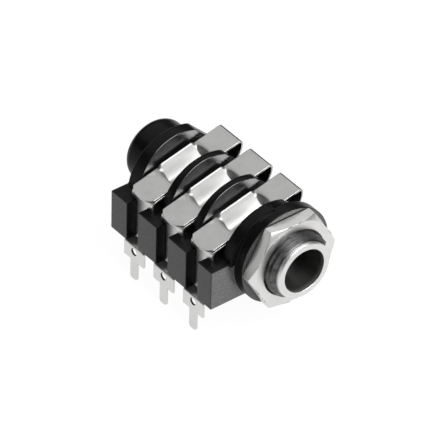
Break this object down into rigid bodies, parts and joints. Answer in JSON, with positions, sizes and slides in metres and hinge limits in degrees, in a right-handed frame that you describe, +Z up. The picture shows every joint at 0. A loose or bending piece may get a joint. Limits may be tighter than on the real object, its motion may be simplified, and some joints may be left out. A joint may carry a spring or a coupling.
{
  "type": "phone jack",
  "caption": "Board-mounted stereo phone jack with an open moulded body, spring contacts across the top, switch contacts beside them and a threaded nose with a hex nut.",
  "frame": {"origin": "on the plug axis, in the plane of the flange face that meets the panel", "axes": "-Y along the plug axis out of the mouth, +Z up from the board, +X towards the side where the springs are fixed"},
  "size_m": [0.0181, 0.033, 0.0181],
  "materials": {
    "black_nylon": "glossy",
    "nickel": "bright nickel plate",
    "tinned_bronze": "satin tin plate"
  },
  "bodies": {
    "jack_body": {"housing": "black_nylon", "nose_ferrule": "nickel", "sleeve_terminal": "tinned_bronze", "ring_terminal": "tinned_bronze", "tip_terminal": "tinned_bronze", "sleeve_break_contact": "tinned_bronze", "ring_break_contact": "tinned_bronze", "tip_break_contact": "tinned_bronze"},
    "sleeve_spring": {"sleeve_spring": "tinned_bronze"},
    "ring_spring": {"ring_spring": "tinned_bronze"},
    "tip_spring": {"tip_spring": "tinned_bronze"},
    "panel_nut": {"panel_nut": "nickel"}
  },
  "joints": [
    {"name": "sleeve_spring_lift", "type": "hinge", "parent": "jack_body", "child": "sleeve_spring", "pos_m": [0.00449, 0.0058, 0.00336], "axis": [0, 1, 0], "range_deg": [0, 6], "stiffness_Nm_per_rad": 0.25, "springref_deg": -1.15},
    {"name": "ring_spring_lift", "type": "hinge", "parent": "jack_body", "child": "ring_spring", "pos_m": [0.00449, 0.01215, 0.00336], "axis": [0, 1, 0], "range_deg": [0, 6], "stiffness_Nm_per_rad": 0.25, "springref_deg": -1.15},
    {"name": "tip_spring_lift", "type": "hinge", "parent": "jack_body", "child": "tip_spring", "pos_m": [0.00449, 0.0185, 0.00336], "axis": [0, 1, 0], "range_deg": [0, 6], "stiffness_Nm_per_rad": 0.25, "springref_deg": -1.15},
    {"name": "panel_nut_turn", "type": "hinge", "parent": "jack_body", "child": "panel_nut", "pos_m": [0, -0.001, 0], "axis": [0, -1, 0], "continuous": true}
  ]
}
